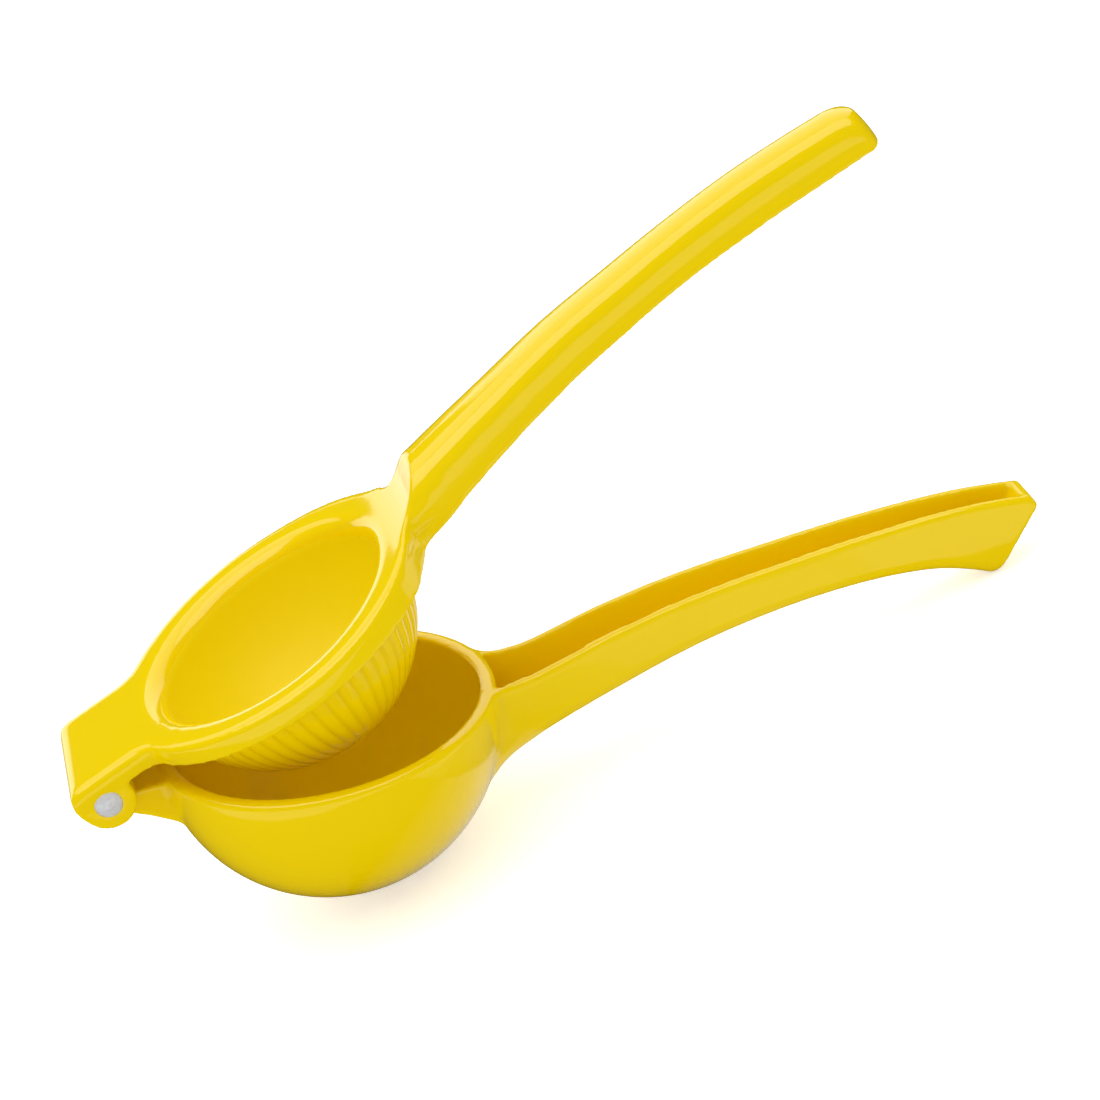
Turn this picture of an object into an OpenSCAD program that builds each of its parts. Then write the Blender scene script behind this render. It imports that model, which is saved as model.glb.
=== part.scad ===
// Hinged lemon squeezer: a strainer cup on the lower arm, a fluted press bowl on the upper arm,
// and one rivet through the hinge at the front.
// Both arms are drawn closed, in the cup's frame: the middle of the cup's lip at the origin, +Z out
// of the cup, +X towards the handles. The last module lays the tool on the table, opened.

/* [Cup] */
// Inner radius of the cup at its lip
cup_r = 33; // [30:0.5:38]
// Wall of the cup
cup_wall = 3.4; // [2.6:0.1:4.5]
// How far the centre of the cup's ball lies below its lip
cup_drop = 2.5; // [0:0.1:5]
// Rounding of the lip's two edges
lip_round = 0.8; // [0.3:0.1:1.2]
// Radius of a juice hole
hole_r = 2; // [1.5:0.1:2.5]
// Distance between two rings of juice holes
hole_pitch = 7; // [6:0.25:8]
// Rings of juice holes round the middle one
hole_rings = 2; // [1:1:2]

/* [Press bowl] */
// Outer radius of the fluted bowl, over its ribs
bowl_r = 30.4; // [27:0.2:31]
// Wall of the bowl
bowl_wall = 2.8; // [2.2:0.1:3.5]
// Height of the bowl's centre over the cup's lip
bowl_z = 6; // [4:0.25:8]
// How far the bowl is set towards the hinge
bowl_shift = 1; // [0:0.1:1.5]
// Number of flutes
flutes = 56; // [40:2:60]
// Radius of a flute's round bottom
flute_r = 0.8; // [0.6:0.05:0.9]
// Depth of a flute
flute_depth = 0.45; // [0.3:0.05:0.5]
// Angle below the bowl's centre at which the flutes start
flute_start = 14; // [12:1:20]
// Angle that a flute runs down the bowl
flute_span = 40; // [20:1:42]

/* [Press ring] */
// How far the ring's edge stands out past the cup's lip, seen from above
ring_over = 0.5; // [0:0.1:3]
// Height of the ring's underside over the cup's lip, with the arms parallel
ring_gap = 2.4; // [1.5:0.1:3]
// Thickness of the ring at the bowl's middle
ring_t = 5.1; // [4.8:0.1:6]
// Radius of the rounded mouth of the bowl
mouth_round = 4.8; // [3:0.1:5.5]
// Radius of the long rise of the ring's top towards the handle
rise_r = 220; // [180:5:280]
// Slope of the ramp between ring and handle
ramp_angle = 46; // [40:1:52]
// Radius of the hollow at the foot of the ramp
ramp_round = 20; // [14:1:24]
// Distance from the cup's middle to the top of the ramp
ramp_x = 42.6; // [41:0.2:44]
// Height of the top of the ramp over the cup's lip, with the arms parallel
ramp_z = 19.4; // [18:0.1:20]

/* [Hinge] */
// Distance from the cup's middle to the hinge axis
hinge_x = 47.6; // [46:0.1:52]
// Height of the hinge axis over the cup's lip
hinge_z = 1; // [0:0.1:1.5]
// Radius of the two ears round the rivet
ear_r = 5.9; // [5.5:0.1:6.5]
// Thickness of an ear
ear_t = 5.8; // [4:0.1:6.4]
// Width of the hood over both ears
hood_w = 31.6; // [28:0.2:34]
// How far the hood's front stands before the hinge axis
hood_front = 6.4; // [6.2:0.1:7]
// Height over the hinge axis at which the hood is open in front, for the tongue to swing out
front_open = 1.5; // [0:0.1:2]
// Rounding of the hood's top front edge
hood_round = 3; // [2:0.25:4]
// Rounding between the bridge and the ring, seen from above
bridge_round = 6; // [4:0.5:8]
// Radius of the knuckle on the cup's tongue
knuckle_r = 4; // [3.6:0.1:4.2]
// Gap on each side of the knuckle
knuckle_side_gap = 0.4; // [0.3:0.05:0.6]
// Gap between the knuckle and the hood round it
knuckle_gap = 0.4; // [0.3:0.05:0.5]
// Depth of the tongue where it meets the cup
tongue_depth = 11; // [8:0.5:13]

/* [Rivet] */
// Radius of the rivet's shank
rivet_r = 2; // [1.6:0.1:2.2]
// Radius of a rivet head
head_r = 2.9; // [2.5:0.1:4]
// Height of a rivet head
head_h = 0.9; // [0.6:0.1:1.2]
// Radial clearance of the rivet in the ears
rivet_fit = 0.02; // [0.01:0.01:0.04]
// Radial clearance of the rivet in the knuckle
rivet_play = 0.06; // [0.04:0.01:0.1]

/* [Handles] */
// Length from the cup's middle to the end of the lower handle
lower_len = 157.7; // [140:0.1:175]
// Length from the cup's middle to the end of the upper handle
upper_len = 157.5; // [140:1:175]
// Rounding between the press ring's side and the upper handle's sides, seen from above
root_round = 3.5; // [2:0.5:10]
// Wall of the handles
handle_wall = 2.2; // [1.8:0.1:2.8]
// Floor of the lower handle's channel
channel_floor = 3; // [2.5:0.25:4]
// Rounding of the lower handle's outer top edges
rim_round = 1.2; // [0.6:0.1:1.4]
// Rounding of the lower handle's bottom edges
grip_round = 3.2; // [2:0.2:4]
// Height of the upper handle's round crown
crown_h = 5.5; // [4:0.25:7]
// Radius of the upper handle's end, seen from above
end_round = 8.5; // [8:0.5:12]

/* [Pose] */
// How far the press arm is opened from parallel
open_angle = 22.2; // [0:0.2:60]

/* [Hidden] */
$fn = 96;
enamel = [0.94, 0.8, 0.02];
steel = [0.78, 0.78, 0.8];

bowl_in = sqrt(cup_r * cup_r + cup_drop * cup_drop);
bowl_out = bowl_in + cup_wall;
lip_out = sqrt(bowl_out * bowl_out - cup_drop * cup_drop);
ring_r = lip_out + ring_over;
ring_top = ring_gap + ring_t;
knuckle_w = hood_w - 2 * ear_t - 2 * knuckle_side_gap;
past = 1; // how far a cutting tool runs past what it cuts

// The handles stretch with their lengths beyond this distance from the cup's middle
stretch_from = 47;
// Stations of the lower handle: [top x, top z, bottom x, bottom z, half width], the first ones in
// the cup's wall.
lower_drawn = 157.7;
lower_line = [
    [31, -0.6, 25, -23, 14.5], [34.5, -0.6, 30.5, -20.2, 12.5], [36.5, -0.6, 33.5, -18.8, 10.4],
    [39, -0.6, 37, -17.3, 9.3], [42, -0.4, 41, -15.8, 8.9], [47, 0.3, 46.5, -13.8, 8.5],
    [62, 4, 62, -9.3, 8], [80, 7, 80, -4.9, 7.4], [100, 8.7, 99, -2.3, 6.8],
    [120, 9.8, 117, -1.6, 6.4], [138, 10, 131, -2.9, 5.8], [149, 9.2, 139.5, -5.2, 5.6],
    [156.4, 8.2, 145.6, -7.8, 5.5]
];
// Straight steps round the edges of its end wall; the tool stands on the first one's bottom
lower_end = [[157, 7.2, 146.9, -7.7, 5.5], [157.7, 5.9, 147.8, -6.8, 5.4]];
// Stations of the upper handle: [crown x, crown z, bottom x, bottom z, half width]. The first
// ones stay inside the ring, whose top cuts them, and draw in from its round side to the handle.
upper_drawn = 157.5;
root_line = [[18, 10.5], [22, 12.6], [26, 14.1], [29, 15.1], [32, 16.2], [35, 17.3], [38, 18.2], [41, 19]];
upper_line = [
    [43.5, 19.3, 43.5, 6.6, 9.3], [48, 20.1, 48, 7.9, 8.9], [54, 21.2, 54, 9.4, 8.5],
    [64, 22.9, 64, 11.8, 8], [80, 25.7, 80, 14.9, 7.4],
    [96, 27.2, 96, 16.9, 7], [112, 28.5, 112, 18.3, 6.7], [128, 29.1, 128, 18.5, 6.5],
    [143, 28.6, 143, 18.2, 6.4], [157.5, 27.6, 157.5, 17.9, 6.4]
];

function stretched(line, drawn, len) =
    [for (s = line)
        let (far = [for (x = [s[0], s[2]]) x <= stretch_from ? x
            : stretch_from + (x - stretch_from) * (len - stretch_from) / (drawn - stretch_from)])
        [far[0], s[1], far[1], s[3], s[4]]];
lower = stretched(lower_line, lower_drawn, lower_len);
lower_tip = stretched(lower_end, lower_drawn, lower_len);
// Half width of the ring's round side, of the hollow rounding after it and of the handle
root_cy = upper_line[0][4] + root_round;
root_cx = sqrt(pow(ring_r + root_round, 2) - root_cy * root_cy) - bowl_shift;
root_tx = (root_cx + bowl_shift) * ring_r / (ring_r + root_round) - bowl_shift;
function root_w(x) =
    x < root_tx ? sqrt(ring_r * ring_r - pow(x + bowl_shift, 2)) - 0.15
    : x < root_cx ? root_cy - sqrt(root_round * root_round - pow(root_cx - x, 2))
    : upper_line[0][4];
function root_low(x) = x < 33 ? ring_gap + 0.05 : ring_gap + (x - 33) * 0.42;
upper = concat(
    [for (p = root_line) [p[0], p[1], p[0], root_low(p[0]), root_w(p[0])]],
    stretched(upper_line, upper_drawn, upper_len)
);

// A smooth line through points: u runs from 0 at the first one to their number less one
function pick(line, i) = line[max(0, min(len(line) - 1, i))];
function smooth(line, u) =
    let (i = min(floor(u), len(line) - 2), t = u - i,
        a = pick(line, i - 1), b = pick(line, i), c = pick(line, i + 1), d = pick(line, i + 2))
    (2 * b + (c - a) * t + (2 * a - 5 * b + 4 * c - d) * t * t + (3 * b - a - 3 * c + d) * t * t * t) / 2;

function arc(x, y, r, from, to, n) =
    [for (i = [0:n]) [x + r * cos(from + (to - from) * i / n), y + r * sin(from + (to - from) * i / n)]];

// A point of a handle's cross-section: y across, v up from the bottom line in millimetres
function on_station(s, y, v) =
    let (h = norm([s[0] - s[2], s[1] - s[3]]), k = v / h)
    [s[2] + (s[0] - s[2]) * k, y, s[3] + (s[1] - s[3]) * k];
function height(s) = norm([s[0] - s[2], s[1] - s[3]]);

// Skin over closed rings of points, with flat ends
module loft(rings) {
    n = len(rings[0]);
    m = len(rings);
    polyhedron(
        points = [for (r = rings) each r],
        faces = concat(
            [[for (j = [0:n - 1]) j], [for (j = [n - 1:-1:0]) (m - 1) * n + j]],
            [for (i = [0:m - 2], j = [0:n - 1]) [i * n + j, (i + 1) * n + j, i * n + (j + 1) % n]],
            [for (i = [0:m - 2], j = [0:n - 1])
                [(i + 1) * n + j, (i + 1) * n + (j + 1) % n, i * n + (j + 1) % n]]
        )
    );
}

// Round-bottomed cross-section, open side up
function tub(s, inset, floor_up, over) =
    let (w = s[4] - inset, r = min(max(grip_round - inset, 0.8), w - 0.2), top = height(s) + over,
        e = rim_round)
    concat(
        over > 0 ? [on_station(s, -w, top)]
            : [for (p = arc(e - w, top - e, e, 90, 180, 3)) on_station(s, p[0], p[1])],
        [for (p = arc(r - w, floor_up + r, r, 180, 270, 4)) on_station(s, p[0], p[1])],
        [for (p = arc(w - r, floor_up + r, r, 270, 360, 4)) on_station(s, p[0], p[1])],
        over > 0 ? [on_station(s, w, top)]
            : [for (p = arc(w - e, top - e, e, 0, 90, 3)) on_station(s, p[0], p[1])]
    );

// Round-crowned cross-section, open side down
function arch(s, w, inset, under) =
    let (h = height(s) - inset, rise = min((crown_h - inset / 2) * max(1, w / 8), h - 1))
    concat(
        [on_station(s, w, -under)],
        [for (i = [0:10])
            let (a = i * 18, c = cos(a), q = sign(c) * pow(abs(c), 0.8))
            on_station(s, w * q, h - rise + rise * pow(sin(a), 0.8))],
        [on_station(s, -w, -under)]
    );

// ---- lower arm

module lip() {
    rotate_extrude()
        polygon(concat(
            [[cup_r, -cup_drop]],
            arc(cup_r + lip_round, -lip_round, lip_round, 180, 90, 5),
            arc(lip_out - 1.4 * lip_round, -1.4 * lip_round, 1.4 * lip_round, 90, 0, 5),
            [[lip_out, -cup_drop]]
        ));
}

module cup_shell() {
    difference() {
        translate([0, 0, -cup_drop]) sphere(bowl_out);
        translate([0, 0, -cup_drop]) cylinder(r = 2 * bowl_out, h = 2 * bowl_out);
    }
    lip();
}

module lower_handle() {
    last = len(lower) - 1;
    per = 3;
    difference() {
        loft(concat(
            [for (i = [0:last * per]) tub(smooth(lower, i / per), 0, 0, 0)],
            [for (s = lower_tip) tub(s, 0, 0, 0)]
        ));
        channel();
    }
}

// The channel runs from the cup's round wall to the slanted end wall
channel_from = 1.6; // station at which the channel begins, inside that wall
channel_end = 2.4; // thickness of the end wall along the handle
module channel() {
    last = len(lower) - 1;
    steps = 26;
    until = last - channel_end / (lower[last][0] - lower[last - 1][0]);
    loft([for (i = [0:steps])
        tub(smooth(lower, channel_from + (until - channel_from) * i / steps), handle_wall,
            channel_floor, 3)]);
}

// Knuckle round the rivet and the tongue that carries it, seen from the side
module tongue() {
    reach = lip_out - 6; // how far the tongue reaches into the cup's wall
    foot = [-reach, -tongue_depth - 3];
    d = norm([hinge_x + foot[0], hinge_z - foot[1]]);
    down = atan2(foot[1] - hinge_z, hinge_x + foot[0]);
    touch = down - acos(knuckle_r / d);
    translate([0, knuckle_w / 2, 0])
        rotate([90, 0, 0])
            linear_extrude(knuckle_w)
                union() {
                    translate([-hinge_x, hinge_z]) circle(knuckle_r);
                    polygon([
                        foot, [-reach, -1], [-hinge_x + knuckle_r * 0.6, -1], [-hinge_x, hinge_z],
                        [-hinge_x + knuckle_r * cos(touch), hinge_z + knuckle_r * sin(touch)]
                    ]);
                }
}

module juice_holes() {
    for (ring = [0:hole_rings])
        for (i = [0:max(6 * ring - 1, 0)])
            rotate([0, 0, 360 / max(6 * ring, 1) * (i + 0.5)])
                translate([ring * hole_pitch, 0, -cup_drop - bowl_out - past])
                    cylinder(r = hole_r, h = bowl_out, $fn = 32);
}

module cup_arm() {
    color(enamel)
        on_table()
            difference() {
                union() {
                    cup_shell();
                    lower_handle();
                    tongue();
                }
                translate([0, 0, -cup_drop]) sphere(bowl_in);
                cylinder(r = cup_r, h = bowl_out);
                juice_holes();
                across(rivet_r + rivet_play, hood_w);
            }
}

// ---- upper arm

// A round bar or bore along the hinge axis
module across(r, width) {
    translate([-hinge_x, width / 2, hinge_z])
        rotate([90, 0, 0])
            cylinder(r = r, h = width);
}

// Side view of the press arm's top: flat over the hood, then the long rise, the hollow at the
// ramp's foot, which touches both, and the ramp
along = [cos(ramp_angle), sin(ramp_angle)];
out = [-sin(ramp_angle), cos(ramp_angle)];
rise_c = [0, ring_top + rise_r];
from_rise = [ramp_x, ramp_z] + ramp_round * out - rise_c;
back = from_rise * along
    + sqrt(pow(from_rise * along, 2) - from_rise * from_rise + pow(rise_r - ramp_round, 2));
foot_c = rise_c + from_rise - back * along;
rise_a = atan2(foot_c[0], rise_c[1] - foot_c[1]);
function top_z(x) =
    x < 0 ? ring_top
    : x < rise_r * sin(rise_a) ? rise_c[1] - sqrt(rise_r * rise_r - x * x)
    : foot_c[1] - sqrt(ramp_round * ramp_round - pow(x - foot_c[0], 2));

// The space over that line: what is cut away from the top
module over_top() {
    far = 60;
    translate([0, far, 0])
        rotate([90, 0, 0])
            linear_extrude(2 * far)
                polygon(concat(
                    [[-2 * far, ring_top]],
                    arc(0, rise_c[1], rise_r, -90, rise_a - 90, 8),
                    arc(foot_c[0], foot_c[1], ramp_round, rise_a - 90, ramp_angle - 90, 6),
                    [foot_c - ramp_round * out + far * along, [-2 * far, 2 * far]]
                ));
}

// Ring and bridge, seen from above
module plate_outline() {
    half = hood_w / 2;
    cx = -bowl_shift;
    // centre of the hollow rounding between bridge and ring
    ry = half + bridge_round;
    rx = cx - sqrt(pow(ring_r + bridge_round, 2) - ry * ry);
    side = concat(
        [[-hinge_x, half]],
        arc(rx, ry, bridge_round, -90, atan2(ry, rx - cx) - 180, 8),
        [[cx, half]]
    );
    union() {
        translate([cx, 0]) circle(ring_r);
        polygon(concat(side, [for (i = [len(side) - 1:-1:0]) [side[i][0], -side[i][1]]]));
    }
}

module plate() {
    difference() {
        translate([0, 0, ring_gap]) linear_extrude(16) plate_outline();
        over_top();
    }
}

// Hood over the knuckle: top front rounded, with one ear on each side
module hood() {
    z_mid = ring_top - hood_round;
    front = -hinge_x - hood_front;
    translate([0, hood_w / 2, 0])
        rotate([90, 0, 0])
            linear_extrude(hood_w)
                union() {
                    polygon(concat(
                        [[-hinge_x + ear_r, hinge_z], [-hinge_x + ear_r, ring_top]],
                        arc(front + hood_round, z_mid, hood_round, 90, 180, 6),
                        [[front, hinge_z + 1], [-hinge_x - ear_r, hinge_z - 1]]
                    ));
                    translate([-hinge_x, hinge_z]) circle(ear_r);
                }
}

// Room for the knuckle and the tongue inside the hood, down and towards the cup
module knuckle_room() {
    w = knuckle_w + 2 * knuckle_side_gap;
    r = knuckle_r + knuckle_gap;
    translate([-hinge_x, w / 2, hinge_z])
        rotate([90, 0, 0])
            linear_extrude(w)
                union() {
                    circle(r);
                    polygon([
                        [-2 * r, front_open], [-2 * r, -2 * ear_r], [hood_front + 8, -2 * ear_r],
                        [hood_front + 8, ring_gap - hinge_z], [0, ring_gap - hinge_z],
                        [0, front_open]
                    ]);
                }
}

// Bowl with its flutes
module press_bowl() {
    translate([0, 0, bowl_z])
        difference() {
            rotate([90, 0, 0]) sphere(bowl_r);
            translate([0, 0, ring_top - 1.5 - bowl_z]) cylinder(r = 2 * bowl_r, h = 2 * bowl_r);
            for (i = [0:flutes - 1]) rotate([90, 0, 360 / flutes * i]) flute();
        }
}

// One flute, bent round the bowl's centre down a meridian
module flute() {
    rotate([0, 0, -flute_start - flute_span])
        rotate_extrude(angle = flute_span)
            translate([bowl_r + flute_r - flute_depth, 0]) circle(flute_r, $fn = 24);
}

// The bowl's hollow, and its mouth rounded out to the top all the way round, which is higher at
// the ramp. The rounding breaks out of the top and of the ball at a clear angle.
module bowl_hollow() {
    r = bowl_r - bowl_wall;
    throat = r - 0.4;
    mouth_r = throat + mouth_round;
    break_out = 0.15;
    n = 72;
    translate([0, 0, bowl_z]) rotate([90, 0, 0]) sphere(r);
    loft(concat(
        [[for (j = [0:n - 1]) (throat - 1.5) * [cos(j * 360 / n), sin(j * 360 / n), 0]]],
        [for (p = arc(mouth_r, break_out - mouth_round, mouth_round, 180, 90, 8))
            [for (j = [0:n - 1])
                let (c = cos(j * 360 / n))
                [p[0] * c, p[0] * sin(j * 360 / n), p[1] + top_z(mouth_r * c - bowl_shift)]]],
        [[for (j = [0:n - 1]) [mouth_r * cos(j * 360 / n), mouth_r * sin(j * 360 / n), ramp_z]]]
    ));
}

hollow_from = len(root_line) + 0.3; // station at which the hollow under the handle begins
module upper_handle() {
    last = len(upper) - 1;
    per = 3;
    end_x = upper[last][0];
    // stations up to where the end starts to round, then narrower ones round the end
    w_end = upper[last][4];
    back = end_round - sqrt(end_round * end_round - w_end * w_end);
    span = upper[last][0] - upper[last - 1][0];
    until = last - back / span;
    difference() {
        loft(concat(
            [for (i = [0:per * (last - 1)]) let (s = smooth(upper, i / per)) arch(s, s[4], 0, 0)],
            [for (k = [0:5])
                let (a = k * 90 / 6, x = end_x - back * (1 - sin(a)),
                    s = smooth(upper, last - (end_x - x) / span))
                arch(s, min(s[4], sqrt(max(0.01, end_round * end_round
                    - pow(end_round - (end_x - x) - 0.02, 2)))), 0, 0)]
        ));
        loft([for (i = [0:24])
            let (s = smooth(upper, hollow_from + (until - hollow_from - 0.2) * i / 24))
            arch(s, s[4] - handle_wall, handle_wall, 3)]);
    }
}

module press_arm() {
    color(enamel)
        on_table() opened()
            difference() {
                union() {
                    plate();
                    hood();
                    translate([-bowl_shift, 0, 0]) press_bowl();
                    difference() {
                        upper_handle();
                        over_top();
                    }
                }
                translate([-bowl_shift, 0, 0]) bowl_hollow();
                knuckle_room();
                across(rivet_r + rivet_fit, hood_w + 2);
            }
}

// ---- rivet

module hinge_rivet() {
    ball = (head_r * head_r + head_h * head_h) / (2 * head_h);
    color(steel)
        on_table() opened()
            union() {
                across(rivet_r, hood_w);
                for (s = [0, 1])
                    mirror([0, s, 0])
                        translate([-hinge_x, hood_w / 2, hinge_z])
                            rotate([-90, 0, 0])
                                difference() {
                                    translate([0, 0, head_h - ball]) sphere(ball);
                                    translate([0, 0, -2 * ball]) cylinder(r = 2 * ball, h = 2 * ball);
                                }
            }
}

// ---- how the tool lies

// The press arm turned about the hinge
module opened() {
    translate([-hinge_x, 0, hinge_z])
        rotate([0, -open_angle, 0])
            translate([hinge_x, 0, -hinge_z])
                children();
}

// Laid on the table, on the cup's ball and on the foot of the lower handle, with the middle of
// its length over the origin
module on_table() {
    foot = [lower_tip[0][2], lower_tip[0][3] + cup_drop];
    tilt = asin(bowl_out / norm(foot)) + atan2(foot[1], foot[0]);
    turn = open_angle - tilt;
    x_low = -hinge_x * cos(tilt) + hinge_z * sin(tilt) - hood_round
        - (hood_front - hood_round) * cos(turn) - (ring_top - hood_round - hinge_z) * sin(turn);
    x_high = max([for (s = lower_tip) s[0] * cos(tilt) + s[1] * sin(tilt)]);
    translate([-(x_low + x_high) / 2, 0, bowl_out + cup_drop * cos(tilt)])
        rotate([0, tilt, 0])
            children();
}

cup_arm();
press_arm();
hinge_rivet();
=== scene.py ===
import bpy, math
from mathutils import Matrix, Vector


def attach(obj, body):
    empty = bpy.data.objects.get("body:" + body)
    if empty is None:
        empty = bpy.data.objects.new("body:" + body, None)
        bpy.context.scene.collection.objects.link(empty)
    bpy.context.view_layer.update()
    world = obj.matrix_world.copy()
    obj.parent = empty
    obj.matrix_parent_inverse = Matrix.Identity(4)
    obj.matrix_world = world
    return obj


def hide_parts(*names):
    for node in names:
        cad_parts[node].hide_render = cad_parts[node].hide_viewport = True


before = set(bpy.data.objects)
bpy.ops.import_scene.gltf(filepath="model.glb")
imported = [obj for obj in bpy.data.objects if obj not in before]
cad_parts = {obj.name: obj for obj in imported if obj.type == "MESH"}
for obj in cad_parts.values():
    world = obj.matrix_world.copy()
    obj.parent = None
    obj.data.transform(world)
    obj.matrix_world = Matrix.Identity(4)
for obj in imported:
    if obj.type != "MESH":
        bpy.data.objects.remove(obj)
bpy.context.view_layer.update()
scene = bpy.context.scene
mm = 0.001
plainWhite = (1, 1, 1, 1)


def deselectAll():
    if bpy.context.object and bpy.context.object.mode != "OBJECT":
        bpy.ops.object.mode_set(mode="OBJECT")
    bpy.ops.object.select_all(action="DESELECT")


def makeActive(piece):
    deselectAll()
    piece.select_set(True)
    bpy.context.view_layer.objects.active = piece


def settle(piece):  # place goes into the mesh, the object stays at the origin
    makeActive(piece)
    bpy.ops.object.transform_apply(location=True, rotation=True, scale=True)


def applyAll(piece):
    makeActive(piece)
    for modifier in list(piece.modifiers):
        bpy.ops.object.modifier_apply(modifier=modifier.name)


lie = {
    "tilt": math.radians(12.348),   # how the tool leans between bowl and foot
    "mid": 51.040,                  # middle of its length, ahead of the cup's middle
    "lift": 38.937,                 # cup's lip over the table
    "open": math.radians(22.2),     # press arm, opened from parallel
    "hinge": (-47.6, 1.0),          # hinge axis in the cup's own frame
    "bowl": (-1.0, 6.0),            # centre of the press bowl, arms parallel
}


def cupPlace():  # cup's own frame, in millimetres, to the table
    turn = Matrix.Rotation(lie["tilt"], 4, "Y")
    return Matrix.Translation((-lie["mid"] * mm, 0, lie["lift"] * mm)) @ turn


def pressPlace():  # press arm's frame, drawn parallel to the cup, to the table
    hx, hz = lie["hinge"]
    hinge = Matrix.Translation((hx * mm, 0, hz * mm))
    return cupPlace() @ hinge @ Matrix.Rotation(-lie["open"], 4, "Y") @ hinge.inverted()


view = {
    "place": (-0.002782, -0.589801, 0.349392),
    "turn": (60.6192, 22.7077, -13.1473),
    "lens": 103.89,
    "sensor": 36,
    "clip": (0.05, 20),
}
bpy.ops.object.camera_add(location=view["place"],
                          rotation=[math.radians(angle) for angle in view["turn"]])
camera = bpy.context.object
camera.name = "camera"
camera.data.lens = view["lens"]
camera.data.sensor_width = view["sensor"]
camera.data.clip_start, camera.data.clip_end = view["clip"]
scene.camera = camera

studio = {
    "around": 0.77,                 # soft light from all round
    "aroundInGloss": 0.012,         # the same room, as the enamel mirrors it
    "tableColour": (0.95, 0.95, 0.95, 1),
    "tableGlow": 0.48,
    "tableInGloss": (0.03, 0.03, 0.03, 1),
    "tableSize": 12,
    "tableDrop": 0.2 * mm,          # how far the table lies under the tool's feet
}
lamps = [  # name, place, aimed at, size, watts, lights the object, is mirrored in it
    ("topSoftbox", (-0.2, 0.1, 1.3), (0, 0, 0.05), (1.6, 1.4), 5.5, True, False),
    ("backFill", (0, 2.4, 0.25), (0, 0, 0.12), (4.2, 1.3), 26, True, False),
    ("lowBackPanel", (-0.39, 0.42, 0.092), (-0.39, 0, 0.092), (0.54, 0.184), 0.5, False, True),
    ("handleBackPanel", (0.165, 0.391, 0.255), (0.165, -0.076, 0.075),
     (0.572, 0.161), 0.45, False, True),
    ("upperBackPanel", (-0.05, 0.281, 0.54), (-0.05, -0.186, 0.36),
     (1.0, 0.45), 1.9, False, True),
    ("frontSoftbox", (-0.1, -0.3, 1.3), (-0.1, -0.3, 0), (2.0, 1.2), 19.6, False, True),
]
for name, place, aim, size, watts, lights, mirrored in lamps:
    bpy.ops.object.light_add(type="AREA", location=place)
    lamp = bpy.context.object
    lamp.name = name
    lamp.data.shape = "RECTANGLE"
    lamp.data.size, lamp.data.size_y = size
    lamp.data.energy = watts
    lamp.rotation_euler = (Vector(aim) - Vector(place)).to_track_quat("-Z", "Y").to_euler()
    lamp.visible_camera = False
    lamp.visible_diffuse, lamp.visible_glossy = lights, mirrored


def blendByRay(tree, rayName, whenNot, when):  # two shaders, told apart by the kind of ray
    path = tree.nodes.new("ShaderNodeLightPath")
    mix = tree.nodes.new("ShaderNodeMixShader")
    tree.links.new(path.outputs[rayName], mix.inputs["Fac"])
    tree.links.new(whenNot, mix.inputs[1])
    tree.links.new(when, mix.inputs[2])
    return mix.outputs["Shader"]


world = bpy.data.worlds.new("studioWorld")
scene.world = world
world.use_nodes = True
tree = world.node_tree
tree.nodes.clear()
shades = {}
for name, strength in (("around", studio["around"]), ("gloss", studio["aroundInGloss"]),
                       ("seen", 1)):
    shades[name] = tree.nodes.new("ShaderNodeBackground")
    shades[name].inputs["Color"].default_value = plainWhite
    shades[name].inputs["Strength"].default_value = strength
room = blendByRay(tree, "Is Glossy Ray", shades["around"].outputs[0], shades["gloss"].outputs[0])
room = blendByRay(tree, "Is Camera Ray", room, shades["seen"].outputs[0])
tree.links.new(room, tree.nodes.new("ShaderNodeOutputWorld").inputs["Surface"])

tableTop = bpy.data.materials.new("tableTop")
tableTop.use_nodes = True
tree = tableTop.node_tree
tree.nodes.clear()
matt, glow, both, grey = (tree.nodes.new("ShaderNode" + kind) for kind in
                          ("BsdfDiffuse", "Emission", "AddShader", "Emission"))
matt.inputs["Color"].default_value = studio["tableColour"]
glow.inputs["Strength"].default_value = studio["tableGlow"]
grey.inputs["Color"].default_value = studio["tableInGloss"]
tree.links.new(matt.outputs[0], both.inputs[0])
tree.links.new(glow.outputs[0], both.inputs[1])
top = blendByRay(tree, "Is Camera Ray", matt.outputs[0], both.outputs[0])
top = blendByRay(tree, "Is Glossy Ray", top, grey.outputs[0])
tree.links.new(top, tree.nodes.new("ShaderNodeOutputMaterial").inputs["Surface"])
bpy.ops.mesh.primitive_plane_add(size=studio["tableSize"],
                                 location=(0, 0, -studio["tableDrop"]))
table = bpy.context.object
table.name = "table"
table.data.materials.append(tableTop)

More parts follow.
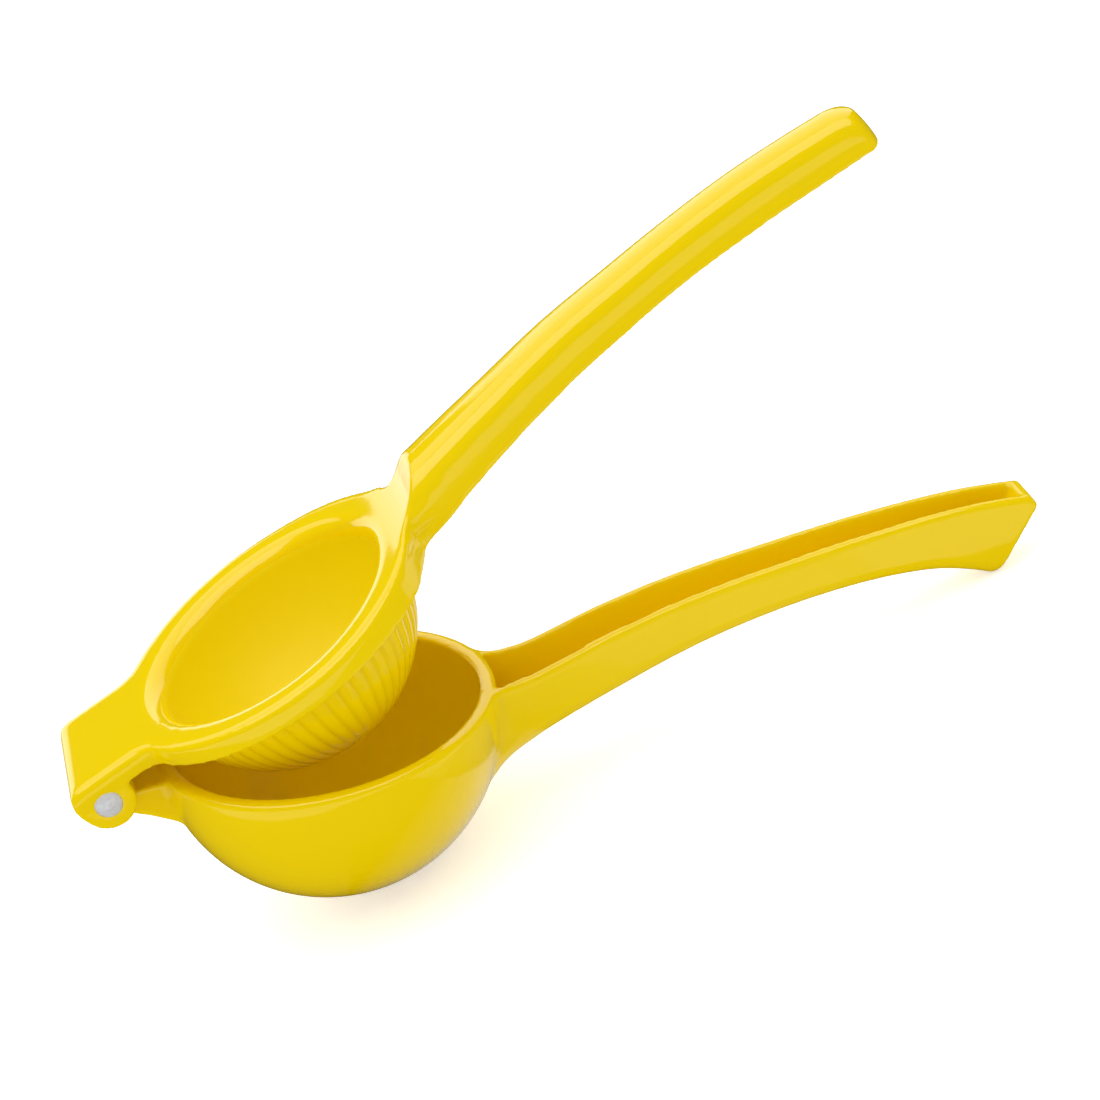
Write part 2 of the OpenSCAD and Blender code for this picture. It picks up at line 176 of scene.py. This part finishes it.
# white cards lying on the table, which only the enamel mirrors
cards = [  # name, place, size, turn, strength, soft edge
    ("frontCard", (-0.07, -0.429, 0.001), (1.0, 0.5), -31, 0.85, False),
    ("nearCard", (0.062, -0.052, 0.001), (0.135, 0.055), 15, 0.85, False),
    ("farCard", (0.035, 0.09, 0.001), (0.15, 0.12), 0, 0.8, False),
    ("leftCard", (-0.315, 0.245, 0.001), (0.37, 0.35), 0, 0.5, False),
    ("rightCard", (0.22, 0.08, 0.001), (0.16, 0.16), 0, 0.8, False),
    ("cupCard", (-0.015, -0.012, 0.001), (0.1, 0.075), 0, 0.95, True),
    ("underCard", (0.03, -0.02, 0.001), (0.08, 0.11), 0, 0.4, True),
]
for name, place, size, turn, strength, soft in cards:
    shining = bpy.data.materials.new(name)
    shining.use_nodes = True
    tree = shining.node_tree
    tree.nodes.clear()
    shine = tree.nodes.new("ShaderNodeEmission")
    shine.inputs["Strength"].default_value = strength
    if soft:
        fade = tree.nodes.new("ShaderNodeTexGradient")
        fade.gradient_type = "SPHERICAL"
        spot = tree.nodes.new("ShaderNodeTexCoord")
        tree.links.new(spot.outputs["Object"], fade.inputs["Vector"])
        tree.links.new(fade.outputs["Color"], shine.inputs["Color"])
    out = tree.nodes.new("ShaderNodeOutputMaterial")
    tree.links.new(shine.outputs[0], out.inputs["Surface"])
    bpy.ops.mesh.primitive_plane_add(size=2, location=place,
                                     rotation=(0, 0, math.radians(turn)))
    card = bpy.context.object
    card.name = name
    card.scale = (size[0] / 2, size[1] / 2, 1)
    card.data.materials.append(shining)
    card.visible_camera = card.visible_diffuse = card.visible_shadow = False
print("camera, lamps and table are set")


def newMaterial(name, settings):
    material = bpy.data.materials.new(name)
    material.use_nodes = True
    shader = material.node_tree.nodes["Principled BSDF"]
    for socket, value in settings.items():
        shader.inputs[socket].default_value = value
    return material


coatGrain = {
    "patchDetail": 3,
    "peelDetail": 1,
    "peelHeight": 0.1 * mm,
}


def makeCoatGroup():
    # a sprayed and baked coat: deeper in patches, its gloss uneven, its skin like orange peel
    group = bpy.data.node_groups.new("bakedCoat", "ShaderNodeTree")
    for name, kind in (("Colour", "Color"), ("Deeper", "Color"), ("Patch Scale", "Float"),
                       ("Gloss Low", "Float"), ("Gloss High", "Float"),
                       ("Peel Scale", "Float"), ("Peel Depth", "Float")):
        group.interface.new_socket(name, in_out="INPUT", socket_type="NodeSocket" + kind)
    for name, kind in (("Colour", "Color"), ("Roughness", "Float"), ("Normal", "Vector")):
        group.interface.new_socket(name, in_out="OUTPUT", socket_type="NodeSocket" + kind)
    nodes, links = group.nodes, group.links
    given, made = nodes.new("NodeGroupInput"), nodes.new("NodeGroupOutput")
    place = nodes.new("ShaderNodeTexCoord")
    patches, peel = nodes.new("ShaderNodeTexNoise"), nodes.new("ShaderNodeTexNoise")
    patches.inputs["Detail"].default_value = coatGrain["patchDetail"]
    peel.inputs["Detail"].default_value = coatGrain["peelDetail"]
    links.new(given.outputs["Patch Scale"], patches.inputs["Scale"])
    links.new(given.outputs["Peel Scale"], peel.inputs["Scale"])
    for noise in (patches, peel):
        links.new(place.outputs["Object"], noise.inputs["Vector"])
    tint = nodes.new("ShaderNodeMix")
    tint.data_type = "RGBA"
    links.new(patches.outputs["Fac"], tint.inputs["Factor"])
    links.new(given.outputs["Colour"], tint.inputs["A"])
    links.new(given.outputs["Deeper"], tint.inputs["B"])
    links.new(tint.outputs["Result"], made.inputs["Colour"])
    gloss = nodes.new("ShaderNodeMapRange")
    links.new(patches.outputs["Fac"], gloss.inputs["Value"])
    links.new(given.outputs["Gloss Low"], gloss.inputs["To Min"])
    links.new(given.outputs["Gloss High"], gloss.inputs["To Max"])
    links.new(gloss.outputs["Result"], made.inputs["Roughness"])
    bump = nodes.new("ShaderNodeBump")
    bump.inputs["Distance"].default_value = coatGrain["peelHeight"]
    links.new(peel.outputs["Fac"], bump.inputs["Height"])
    links.new(given.outputs["Peel Depth"], bump.inputs["Strength"])
    links.new(bump.outputs["Normal"], made.inputs["Normal"])
    return group


def coat(material, group, values):
    tree = material.node_tree
    node = tree.nodes.new("ShaderNodeGroup")
    node.node_tree = group
    for socket, value in values.items():
        node.inputs[socket].default_value = value
    shader = tree.nodes["Principled BSDF"]
    for made, socket in (("Colour", "Base Color"), ("Roughness", "Roughness"), ("Normal", "Normal")):
        tree.links.new(node.outputs[made], shader.inputs[socket])


bakedCoat = makeCoatGroup()
enamelYellow = newMaterial("enamelYellow", {"IOR": 1.45})
coat(enamelYellow, bakedCoat, {
    "Colour": (0.985, 0.72, 0.0, 1), "Deeper": (0.965, 0.69, 0.0, 1), "Patch Scale": 35,
    "Gloss Low": 0.07, "Gloss High": 0.13, "Peel Scale": 700, "Peel Depth": 0.12,
})
# painted shade: a copy of the enamel for inside the bowl, its colour shifted to stand for the
# shading there, and its gloss duller
enamelWithPaintedShade = newMaterial("enamelWithPaintedShade", {"IOR": 1.4, "Specular IOR Level": 0.15})
coat(enamelWithPaintedShade, bakedCoat, {
    "Colour": (0.945, 0.745, 0.0, 1), "Deeper": (0.925, 0.725, 0.0, 1), "Patch Scale": 30,
    "Gloss Low": 0.4, "Gloss High": 0.5, "Peel Scale": 700, "Peel Depth": 0.12,
})
rivetMetal = newMaterial("rivetMetal", {"Metallic": 0.2})
coat(rivetMetal, bakedCoat, {
    "Colour": (1.0, 1.0, 0.98, 1), "Deeper": (0.55, 0.57, 0.64, 1), "Patch Scale": 1100,
    "Gloss Low": 0.25, "Gloss High": 0.5, "Peel Scale": 1500, "Peel Depth": 0.6,
})
print("enamel and rivet metal are mixed")

casting = {
    "weld": 0.002 * mm,     # loose triangles are joined within this
    "voxel": 0.5 * mm,      # grain of the new skin
    "rub": 0.5,             # share of its way that a point moves at each rub
    "edgeSmooth": 6,        # rubbing of every edge
    "topSmooth": 60,        # rubbing of the press arm's top edges, which are well rounded
    "cornerSmooth": 30,     # rubbing of the corners where handle and tongue leave the cup
    "domeUnder": 29.2,      # radius of the press casting's dome under its fluted skin
    "domeOuter": 31.5,      # what lies farther out than this isn't the dome
    "domeTop": -4.2,        # and what lies higher than this is the ring
    "triangles": 192000,    # most that a finished casting holds
}


def between(value, none, full):  # 0 at none, 1 at full, even steps between
    return min(1, max(0, (value - none) / (full - none)))


def weigh(piece, place, name, weight):
    # a vertex group with its weights from where a point lies in the arm's own frame, in millimetres
    back = place.inverted()
    group = piece.vertex_groups.new(name=name)
    for vertex in piece.data.vertices:
        x, y, z = (back @ vertex.co) / mm
        amount = weight(x, y, z)
        if amount > 0:
            group.add([vertex.index], amount, "REPLACE")


def rub(piece, times, groupName=""):
    smooth = piece.modifiers.new("rub", "SMOOTH")
    smooth.factor = casting["rub"]
    smooth.iterations = times
    smooth.vertex_group = groupName
    applyAll(piece)


def castFrom(nodeName, name):
    # a copy of the drawn solid, skinned anew and rubbed smooth as a casting under enamel is
    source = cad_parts[nodeName]
    piece = source.copy()
    piece.data = source.data.copy()
    piece.name = name
    piece.parent = None
    for key in list(piece.keys()):
        if key.startswith("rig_"):
            del piece[key]
    bpy.context.scene.collection.objects.link(piece)
    piece.matrix_world = Matrix.Identity(4)
    piece.data.materials.clear()
    makeActive(piece)
    bpy.ops.object.mode_set(mode="EDIT")
    bpy.ops.mesh.select_all(action="SELECT")
    bpy.ops.mesh.remove_doubles(threshold=casting["weld"])
    bpy.ops.object.mode_set(mode="OBJECT")
    skin = piece.modifiers.new("skin", "REMESH")
    skin.mode = "VOXEL"
    skin.voxel_size = casting["voxel"]
    applyAll(piece)
    rub(piece, casting["edgeSmooth"])
    return piece


def finishCasting(piece, body, nodeName):
    piece.vertex_groups.clear()
    thin = piece.modifiers.new("thin", "DECIMATE")
    thin.ratio = min(1, casting["triangles"] / (2 * len(piece.data.polygons)))
    applyAll(piece)
    makeActive(piece)
    bpy.ops.object.shade_smooth()
    piece.data.materials.append(enamelYellow)
    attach(piece, body)
    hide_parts(nodeName)
    print(piece.name, "has", len(piece.data.polygons), "faces")


def movePoints(piece, place, move):
    # move gives a point's new place or nothing, in the arm's own frame, in millimetres
    back = place.inverted()
    for vertex in piece.data.vertices:
        moved = move(*((back @ vertex.co) / mm))
        if moved:
            vertex.co = place @ (Vector(moved) * mm)


cupCorners = {  # each pair is where the rubbing starts and where it is whole
    "in": (28, 32), "out": (44, 40),    # along the arm, from the cup's middle
    "down": (-1.8, -3.5),
    "side": (22, 17),
}


def nearCorner(x, y, z):
    return (between(abs(x), *cupCorners["in"]) * between(abs(x), *cupCorners["out"])
            * between(z, *cupCorners["down"]) * between(abs(y), *cupCorners["side"]))


cupCasting = castFrom("cup_arm", "cupCasting")
weigh(cupCasting, cupPlace(), "corners", nearCorner)
rub(cupCasting, casting["cornerSmooth"], "corners")
finishCasting(cupCasting, "cup_arm", "cup_arm")

pressTop = {
    "up": (3.4, 5.2),
    "along": (36, 29),
}


def nearTop(x, y, z):
    return between(z, *pressTop["up"]) * between(x, *pressTop["along"])


pressCasting = castFrom("press_arm", "pressCasting")
weigh(pressCasting, pressPlace(), "topEdges", nearTop)
rub(pressCasting, casting["topSmooth"], "topEdges")
bowlX, bowlZ = lie["bowl"]
toDome = pressPlace() @ Matrix.Translation((bowlX * mm, 0, bowlZ * mm))
fromDome = toDome.inverted()
for vertex in pressCasting.data.vertices:  # the dome makes room for its fluted skin
    spot = fromDome @ vertex.co
    isDome = casting["domeUnder"] * mm < spot.length < casting["domeOuter"] * mm
    if isDome and spot.z < casting["domeTop"] * mm:
        vertex.co = toDome @ (spot * (casting["domeUnder"] * mm / spot.length))

hoodTop = {  # rubbing has drawn the hood in, so its top goes out again
    "out": 0.65,
    "side": (9, 14),
    "along": (-26, -35),
    "up": (2.5, 5),
}
root = {  # where the handle leaves the ring
    "in": (30, 34), "out": (43, 38),
    "rise": 0.9, "draw": 0.05,              # its underside turns up and its lower sides draw in
    "under": (7, 3.5),
    "flare": 0.06,                          # the foot of the slanted face stands out
    "flareIn": (8, 9.5), "flareOut": (14, 12),
    "ridge": 0.05,                          # the ridge over the face draws in
    "ridgeIn": (36, 39), "ridgeOut": (47, 43), "ridgeUp": (14, 17),
}
grip = {  # the handle, from where it has left the ring
    "start": 43, "over": 4,
    "line": 18.5, "lineAt": 128,            # its lower edge at its highest, and where that is
    "fall": 11.9, "before": 84.5, "after": 130,     # it falls this far within these lengths
    "tuck": 0.04,                           # its lower edges tuck in
    "tuckIn": (43, 50), "tuckUp": (4, 0),
    "end": (150, 157.5), "high": (18, 28), "half": 6.4,
    "back": 0.3, "backHigh": 1.1, "backSide": 0.8,  # its end is drawn back, most at its corners
    "narrow": 0.14, "lower": 1.8,
}


def shapeHoodAndRoot(x, y, z):
    y += (math.copysign(hoodTop["out"], y) * between(abs(y), *hoodTop["side"])
          * between(x, *hoodTop["along"]) * between(z, *hoodTop["up"]))
    near = between(x, *root["in"]) * between(x, *root["out"])
    z += root["rise"] * near * between(z, *root["under"])
    y *= 1 - root["draw"] * near * between(z, *root["under"])
    flare = root["flare"] * near * between(z, *root["flareIn"]) * between(z, *root["flareOut"])
    ridge = (root["ridge"] * between(x, *root["ridgeIn"]) * between(x, *root["ridgeOut"])
             * between(z, *root["ridgeUp"]))
    return x, y * (1 + flare - ridge), z


def shapeGrip(x, y, z):
    if x < grip["start"] or z < grip["over"]:
        return None
    reach = grip["before"] if x < grip["lineAt"] else grip["after"]
    over = z - (grip["line"] - grip["fall"] * ((grip["lineAt"] - x) / reach) ** 2)
    y *= 1 - grip["tuck"] * between(x, *grip["tuckIn"]) * between(over, *grip["tuckUp"]) ** 2
    end, high = between(x, *grip["end"]) ** 2, between(z, *grip["high"])
    side = (y / grip["half"]) ** 2
    back = grip["back"] + grip["backHigh"] * high ** 2 + grip["backSide"] * side * high
    return x - end * back, y * (1 - grip["narrow"] * end * high), z - grip["lower"] * end * high


movePoints(pressCasting, pressPlace(), shapeHoodAndRoot)
movePoints(pressCasting, pressPlace(), shapeGrip)
finishCasting(pressCasting, "press_arm", "press_arm")

# faces inside the bowl take the enamel whose colour is painted shade
paintedShadeInBowl = {
    "radius": 27.9,
    "top": -1.2,
}
pressCasting.data.materials.append(enamelWithPaintedShade)
for face in pressCasting.data.polygons:
    spot = fromDome @ face.center
    if spot.length < paintedShadeInBowl["radius"] * mm and spot.z < paintedShadeInBowl["top"] * mm:
        face.material_index = 1

flutedDome = {
    "radius": 30.4,         # over the ribs
    "ribs": 56,
    "groove": 0.5,          # depth of the line between two ribs
    "round": 0.6,           # under 1, a rib is flatter on top and its line narrower
    "start": 9.0,           # angle under the dome's middle at which the ribs begin
    "full": 15.0,           # and at which they are at their deepest
    "fade": 34.0,           # from here they run out
    "end": 56.0,            # and are gone here
    "skin": 1.0,            # thickness of this skin
    "top": -1.6,            # its upper edge, hidden in the ring
    "around": 560, "down": 120,
}
deselectAll()
bpy.ops.mesh.primitive_uv_sphere_add(segments=flutedDome["around"],
                                     ring_count=flutedDome["down"],
                                     radius=flutedDome["radius"] * mm, location=(0, 0, 0))
dome = bpy.context.object
dome.name = "flutedDome"
bpy.ops.object.mode_set(mode="EDIT")
bpy.ops.mesh.select_all(action="SELECT")
bpy.ops.mesh.bisect(plane_co=(0, 0, flutedDome["top"] * mm), plane_no=(0, 0, 1),
                    clear_outer=True)
bpy.ops.object.mode_set(mode="OBJECT")
for vertex in dome.data.vertices:
    x, y, z = vertex.co
    under = math.degrees(math.atan2(-z, math.hypot(x, y)))
    strength = (between(under, flutedDome["start"], flutedDome["full"])
                * between(under, flutedDome["end"], flutedDome["fade"]))
    rib = abs(math.sin(math.atan2(y, x) * flutedDome["ribs"] / 2)) ** flutedDome["round"]
    vertex.co *= 1 - strength * flutedDome["groove"] * (1 - rib) / flutedDome["radius"]
wall = dome.modifiers.new("wall", "SOLIDIFY")
wall.thickness = flutedDome["skin"] * mm
wall.offset = -1
applyAll(dome)
dome.matrix_world = toDome
settle(dome)
bpy.ops.object.shade_smooth()
dome.data.materials.append(enamelYellow)
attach(dome, "press_arm")
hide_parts("press_arm")
print("dome has", len(dome.data.polygons), "faces")

rivet = {
    "shank": 2.0, "half": 15.8,     # radius, and half the length between the heads
    "head": 2.9, "high": 0.9,       # radius and height of a head
    "off": 0.02,                    # a head's flat lies this far past the shank's end
    "around": 64, "headAround": 96,
    "sharp": 40,                    # an edge of more than this angle stays sharp
}
hx, hz = lie["hinge"]
deselectAll()
bpy.ops.mesh.primitive_cylinder_add(vertices=rivet["around"], radius=rivet["shank"] * mm,
                                    depth=2 * rivet["half"] * mm, location=(0, 0, 0))
pin = bpy.context.object
pin.name = "hingeRivet"
parts = [pin]
ball = (rivet["head"] ** 2 + rivet["high"] ** 2) / (2 * rivet["high"])
for side in (1, -1):
    middle = side * (rivet["half"] + rivet["high"] - ball)
    bpy.ops.mesh.primitive_uv_sphere_add(segments=rivet["headAround"],
                                         ring_count=rivet["headAround"],
                                         radius=ball * mm, location=(0, 0, middle * mm))
    head = bpy.context.object
    settle(head)
    bpy.ops.object.mode_set(mode="EDIT")
    bpy.ops.mesh.select_all(action="SELECT")
    bpy.ops.mesh.bisect(plane_co=(0, 0, side * (rivet["half"] + rivet["off"]) * mm),
                        plane_no=(0, 0, side), clear_inner=True, use_fill=True)
    bpy.ops.object.mode_set(mode="OBJECT")
    parts.append(head)
deselectAll()
for part in parts:
    part.select_set(True)
bpy.context.view_layer.objects.active = pin
bpy.ops.object.join()
across = Matrix.Rotation(math.radians(90), 4, "X")
pin.matrix_world = pressPlace() @ Matrix.Translation((hx * mm, 0, hz * mm)) @ across
settle(pin)
bpy.ops.object.shade_smooth_by_angle(angle=math.radians(rivet["sharp"]))
pin.data.materials.append(rivetMetal)
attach(pin, "press_arm")
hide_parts("hinge_rivet")
print("rivet is set")

scene.view_settings.view_transform = "Standard"
